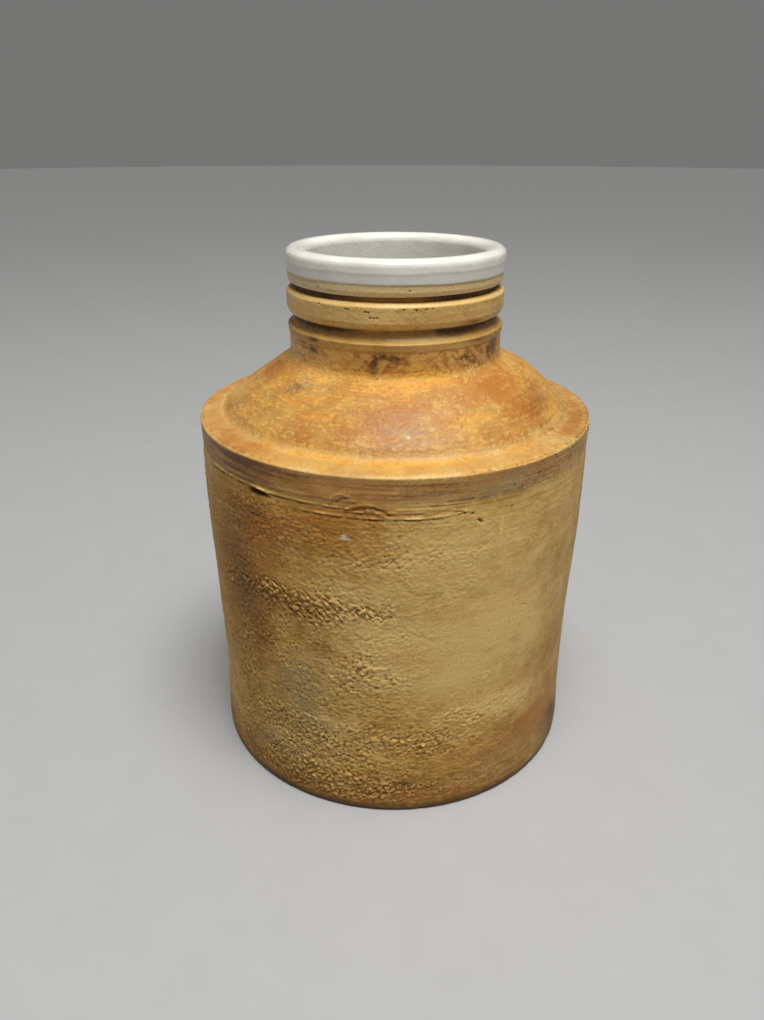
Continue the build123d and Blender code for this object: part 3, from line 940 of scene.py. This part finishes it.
OCHRE = (0.59, 0.345, 0.086, 1)
OLIVE = (0.41, 0.23, 0.041, 1)
PALE_CLAY = (0.8, 0.55, 0.2, 1)
GOLD = (0.8, 0.41, 0.062, 1)
RUST_RED = (0.46, 0.175, 0.03, 1)
BURNT = (0.11, 0.05, 0.013, 1)
ASH_GREY = (0.34, 0.27, 0.14, 1)
CHALK = (0.62, 0.59, 0.47, 1)
PAINTED_SHADE_IN_HOLLOWS = (0.17, 0.075, 0.025, 1)
PAINTED_LIGHT_ON_TOPS = (0.72, 0.5, 0.185, 1)
GRAIN = (0.5, 0.42, 0.33, 1)
GLAZE_SHADE = (0.74, 0.722, 0.63, 1)
GLAZE_WHITE = (0.84, 0.825, 0.73, 1)
GLAZE_PAINTED_SHADE = (0.52, 0.53, 0.5, 1)
GLAZE_SPECK = (0.3, 0.22, 0.13, 1)
GLAZE_THIN = (0.42, 0.36, 0.27, 1)


def node_of(tree, kind, inputs=None, **settings):
    """Adds a shader node. Inputs are values or the sockets that feed them."""
    new = tree.nodes.new("ShaderNode" + kind)
    for key, value in settings.items():
        setattr(new, key, value)
    for key, value in (inputs or {}).items():
        if isinstance(value, bpy.types.NodeSocket):
            tree.links.new(value, new.inputs[key])
        else:
            new.inputs[key].default_value = value
    return new


def maths(tree, operation, a, b):
    return node_of(tree, "Math", {0: a, 1: b}, operation=operation).outputs[0]


def add(tree, a, b, share):
    """a plus a share of b."""
    return maths(tree, "ADD", a, maths(tree, "MULTIPLY", b, share))


def ramp(tree, value, low, high, to_low=0.0, to_high=1.0):
    """Maps value from low..high to to_low..to_high, smoothly and no further."""
    inputs = {"Value": value, "From Min": low, "From Max": high, "To Min": to_low, "To Max": to_high}
    return node_of(tree, "MapRange", inputs, interpolation_type="SMOOTHSTEP").outputs[0]


def mixed(tree, amount, under, over, blend="MIX"):
    inputs = {"Factor": amount, 6: under, 7: over}
    return node_of(tree, "Mix", inputs, data_type="RGBA", blend_type=blend).outputs[2]


def speckle(tree, scale, detail=3.0, roughness=0.55, squash=(1, 1, 1)):
    """A noise of features about 1/scale metres across, about 0.5 on average."""
    place = node_of(tree, "TexCoord").outputs["Object"]
    if squash != (1, 1, 1):
        place = node_of(tree, "Mapping", {"Vector": place, "Scale": squash}).outputs[0]
    inputs = {"Vector": place, "Scale": scale, "Detail": detail, "Roughness": roughness}
    return node_of(tree, "TexNoise", inputs).outputs[0]


def mask_of(tree, name):
    return node_of(tree, "Attribute", attribute_name=name).outputs["Fac"]


def new_material(name):
    """A new material, its node tree and its shader."""
    material = bpy.data.materials.new(name)
    material.use_nodes = True
    return material, material.node_tree, material.node_tree.nodes["Principled BSDF"]


def wire(tree, shader, colour, rough, height, strength, distance):
    """Feeds the shader a colour, a roughness and a bump."""
    bump = node_of(tree, "Bump", {"Height": height, "Strength": strength, "Distance": distance})
    for key, socket in (("Base Color", colour), ("Roughness", rough), ("Normal", bump.outputs[0])):
        tree.links.new(socket, shader.inputs[key])


def clay_material(name, gloss, shine):
    """Fired clay under a thin salt glaze. gloss lowers its roughness, shine is its specular level."""
    material, tree, shader = new_material(name)
    fine = speckle(tree, 1300)
    medium = speckle(tree, 330, 4)
    broad = speckle(tree, 90, 5)
    streak = speckle(tree, 1.0, 4, 0.6, (16, 16, 900))
    uneven = add(tree, maths(tree, "MULTIPLY", medium, 0.6), streak, 0.4)
    spread = maths(tree, "SUBTRACT", uneven, 0.5)

    # each mask covers what is under it, with an edge that is broken up by the spread
    colour = mixed(tree, ramp(tree, broad, 0.35, 0.65), OLIVE, OCHRE)
    for key, tint, low, high, share in (
        ("pale", PALE_CLAY, 0.05, 1.0, 0.9),
        ("gold", GOLD, 0.1, 1.1, 1.2),
        ("rust", RUST_RED, 0.05, 1.0, 1.1),
        ("ash", ASH_GREY, 0.15, 1.1, 0.9),
        ("brown", BURNT, 0.1, 1.05, 1.0),
    ):
        cover = ramp(tree, add(tree, mask_of(tree, key), spread, share), low, high)
        colour = mixed(tree, cover, colour, tint)
    colour = mixed(tree, ramp(tree, mask_of(tree, "chalk"), 0.2, 0.8), colour, CHALK)
    # painted shade in the relief's hollows and painted light on its tops; the hollows are also rougher
    hollow_shade_amount = ramp(tree, mask_of(tree, "hollow"), 0.1, 1.5, 0.0, 0.6)
    colour = mixed(tree, hollow_shade_amount, colour, PAINTED_SHADE_IN_HOLLOWS)
    top_light_amount = ramp(tree, mask_of(tree, "hollow"), -0.15, -1.6, 0.0, 0.33)
    colour = mixed(tree, top_light_amount, colour, PAINTED_LIGHT_ON_TOPS)
    colour = mixed(tree, ramp(tree, fine, 0.3, 0.7, 0.35, 0.0), colour, GRAIN, "MULTIPLY")
    specks = ramp(tree, speckle(tree, 800, 1), 0.7, 0.76, 0.0, 0.55)
    colour = mixed(tree, specks, colour, BURNT)

    rough = ramp(tree, medium, 0.3, 0.7, 0.62 - gloss, 0.46 - gloss)
    rough = add(tree, rough, hollow_shade_amount, 0.25)
    height = add(tree, maths(tree, "MULTIPLY", fine, 0.35), speckle(tree, 640, 2), 0.65)
    height = add(tree, height, streak, 0.25)
    wire(tree, shader, colour, rough, height, 0.35, 0.0006)
    shader.inputs["Specular IOR Level"].default_value = shine
    return material


def glaze_material(name):
    """Thick white glaze, faintly cloudy and specked, thin and tan at the dip line."""
    material, tree, shader = new_material(name)
    cloud = speckle(tree, 60, 4)
    colour = mixed(tree, ramp(tree, cloud, 0.3, 0.7), GLAZE_SHADE, GLAZE_WHITE)
    # the glaze under the roll of the lip is greyed: painted shade, broken into runs
    shade_and_runs = add(tree, mask_of(tree, "painted_shade_under_roll"), speckle(tree, 1, 4, 0.6, (90, 90, 500)), 0.5)
    colour = mixed(tree, ramp(tree, shade_and_runs, 0.35, 1.25, 0.0, 0.55), colour, GLAZE_PAINTED_SHADE)
    specks = ramp(tree, speckle(tree, 420, 1), 0.74, 0.79, 0.0, 0.5)
    colour = mixed(tree, specks, colour, GLAZE_SPECK)
    edge = add(tree, mask_of(tree, "thin"), speckle(tree, 300), 0.4)
    colour = mixed(tree, ramp(tree, edge, 0.75, 1.3, 0.0, 0.7), colour, GLAZE_THIN)
    rough = ramp(tree, cloud, 0.3, 0.7, 0.26, 0.16)
    wire(tree, shader, colour, rough, speckle(tree, 260, 2), 0.12, 0.0008)
    shader.inputs["Coat Weight"].default_value = 0.35
    shader.inputs["Coat Roughness"].default_value = 0.08
    return material


MATERIALS = {
    "stoneware": clay_material("stoneware", 0.02, 0.14),
    "stoneware_shoulder": clay_material("stoneware_shoulder", 0.06, 0.32),
    "stoneware_neck": clay_material("stoneware_neck", 0.1, 0.36),
    "slip": clay_material("slip", 0.04, 0.18),
    "white_glaze": glaze_material("white_glaze"),
}

# ---- pieces

BARE_MOUTH_R = MOUTH_R + GLAZE
bare_lip = rounded(
    [
        (NECK_R, DIP_Z, 0),
        (NECK_R, HEIGHT - GLAZE, LIP_R - CREST_R - GLAZE),
        (BARE_MOUTH_R, HEIGHT - GLAZE, CREST_R - MOUTH_R - GLAZE),
        (BARE_MOUTH_R, DIP_Z, 0),
    ]
)


def hollow_line(inset):
    """The line of the hollow, from the axis over the floor and up to the dip line, inset from the clay."""
    wall, mouth, floor = CLAY_WALL_R - inset, BARE_MOUTH_R - inset, CLAY_FLOOR_Z + inset
    corner = COIL_TOP_Z - CLAY_FLOOR_Z
    return [
        (1.0, floor, 0),
        (wall - corner, floor, 4.0),
        (wall - 0.34 * corner, floor + 0.34 * corner, 6.0),
        (wall, floor + corner, 4.0),
        (wall, INNER_CONE_FOOT_Z - 0.4 * inset, 9.0),
        (mouth, INNER_CONE_TOP_Z - 0.4 * inset, 8.0),
        (mouth, DIP_Z, 0),
    ]


under_shoulder = [p for p in rounded(hollow_line(0.0))[::-1] if SHOULDER_FOOT_Z < p[1] < NECK_JOINT_Z]

back_of_wall = [(CLAY_WALL_R, z) for z in (WALL_JOINT_Z, CLAY_FLOOR_Z, 0.0)]
back_of_seam = [(CLAY_WALL_R, z) for z in (SHOULDER_FOOT_Z, WALL_JOINT_Z)]
back_of_shoulder = [(BARE_MOUTH_R, NECK_JOINT_Z), *under_shoulder, (CLAY_WALL_R, SHOULDER_FOOT_Z)]
back_of_neck = [*bare_lip[1:], (BARE_MOUTH_R, NECK_JOINT_Z), (NECK_R, NECK_JOINT_Z)]

skin_piece("body_wall_skin", "body_wall", "stoneware", back_of_wall)
skin_piece("shoulder_seam_skin", "shoulder_seam_slip", "slip", back_of_seam)
skin_piece("shoulder_cap_skin", "shoulder_cap", "stoneware_shoulder", back_of_shoulder)
skin_piece("neck_seam_skin", "neck_seam_slip", "slip", [(NECK_R, NECK_JOINT_Z)])
skin_piece("neck_collar_skin", "neck_collar", "stoneware_neck", back_of_neck, 2)
skin_piece("rim_glaze_skin", "rim_glaze", "white_glaze", bare_lip[::-1], 2)

# the glazed inside, with slow runs down the wall and rings left by the wheel
inside = Turned(even(rounded(hollow_line(GLAZE))[::-1], 4.0))
inside_lift = 0.12 * inside.mottle(211, 30, 22)
inside_lift += 0.05 * inside.mottle(212, 60, 4, 1, inside.S)
inside_lift += 0.05 * inside.mottle(213, 9, 24)
inside_lift *= smooth(0, 12, inside.S)
inside_places = inside.places(inside_lift.astype(np.float32))
inside_places[0] = skin_places[-1]
rows = np.concatenate([ring_rows(rounded(hollow_line(0.0))), inside_places])
mesh_piece("interior_glaze_skin", "interior_glaze", "white_glaze", rows, {}, False, 2)

# the foot's flat underside, cut with a wire: shallow arcs, and bare clay
HUB_R = 0.8
under = Turned(even(np.array([(HUB_R, 0.0), (CLAY_WALL_R, 0.0)]), 2.0))
arcs = noise(221, (under.Y + 0.006 * under.X**2) / 2.4, under.X / 60)
marks = noise(222, under.X / 14, under.Y / 14)
cut = np.clip(0.1 * arcs + 0.1 * marks + 0.05 * noise(223, under.X / 3, under.Y / 3), -0.3, 0.2) + 0.2
cut = (cut * smooth(0, 5, CLAY_WALL_R - under.R)).astype(np.float32)
under_places = under.places(-cut)
under_masks = {
    "pale": 0.45 + 0.3 * layers(231, 3, under.X / 30, under.Y / 30),
    "rust": 0.1 + 0.3 * layers(232, 3, under.X / 22, under.Y / 22) + 0.5 * smooth(80, 104, under.R),
    "brown": 0.03 + 0.35 * smooth(0.3, 0.9, layers(233, 4, under.X / 9, under.Y / 9)),
    "ash": 0.15 + 0.3 * layers(234, 3, under.X / 26, under.Y / 26),
    # the wire-cut arcs are darkened and lightened through the hollow mask: painted shade and painted light
    "hollow": 0.6 * arcs * smooth(0, 5, CLAY_WALL_R - under.R),
}
under_masks = {key: (field + 0 * under.X).astype(np.float32) for key, field in under_masks.items()}
rows = np.concatenate([under_places, ring_rows([(CLAY_WALL_R, CLAY_FLOOR_Z), (HUB_R, CLAY_FLOOR_Z)])])
mesh_piece("base_slab_skin", "base_slab", "stoneware", rows, under_masks, False, 2)

# the clay coil in the floor's corner is the CAD's own piece, out of sight under the glaze
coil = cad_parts["base_seam_coil"]
coil.data.materials.clear()
coil.data.materials.append(MATERIALS["stoneware"])

# ---- studio

scene = bpy.context.scene
scene.view_settings.view_transform = "Standard"

FLOOR_R = 9
floor_mesh = bpy.data.meshes.new("floor")
around = [math.radians(a) for a in range(0, 360, 5)]
disc = [(FLOOR_R * math.cos(a), FLOOR_R * math.sin(a), 0) for a in around]
floor_mesh.from_pydata(disc, [], [list(range(len(disc)))])
floor = bpy.data.objects.new("floor", floor_mesh)
scene.collection.objects.link(floor)
floor_material, floor_tree, floor_shader = new_material("floor")
cloudy = speckle(floor_tree, 30, 4)
floor_colour = mixed(floor_tree, cloudy, (0.4, 0.4, 0.395, 1), (0.43, 0.43, 0.425, 1))
floor_tree.links.new(floor_colour, floor_shader.inputs["Base Color"])
floor_shader.inputs["Roughness"].default_value = 0.7
floor_mesh.materials.append(floor_material)

world = bpy.data.worlds.new("studio")
scene.world = world
world.use_nodes = True
background = world.node_tree.nodes["Background"]
background.inputs["Color"].default_value = (1.0, 0.99, 0.97, 1)
background.inputs["Strength"].default_value = 0.18

# a square soft lamp overhead and a wide, weak sun, both turned the same way; places are in metres
LAMP_PLACE = (0.18, -0.45, 1.9)
LAMP_AIM = (0, 0, 0.2)
way = np.array(LAMP_AIM) - np.array(LAMP_PLACE)
lamp_turn = (math.acos(-way[2] / np.linalg.norm(way)), 0, math.atan2(way[1], way[0]) - math.pi / 2)
overhead = bpy.data.lights.new("overhead", "AREA")
overhead.size = 0.9
overhead.energy = 29
sky = bpy.data.lights.new("sky", "SUN")
sky.angle = math.radians(30)
sky.energy = 1.2
for light, place in ((overhead, LAMP_PLACE), (sky, (0, 0, 0))):
    lamp = bpy.data.objects.new(light.name, light)
    lamp.location = place
    lamp.rotation_euler = lamp_turn
    scene.collection.objects.link(lamp)

camera_data = bpy.data.cameras.new("camera")
camera_data.lens = 28.235
camera_data.sensor_width = 36
camera = bpy.data.objects.new("camera", camera_data)
camera.location = (-0.00753, -0.4624, 0.3625)
camera.rotation_euler = (math.radians(64.5), 0, 0)
scene.collection.objects.link(camera)
scene.camera = camera
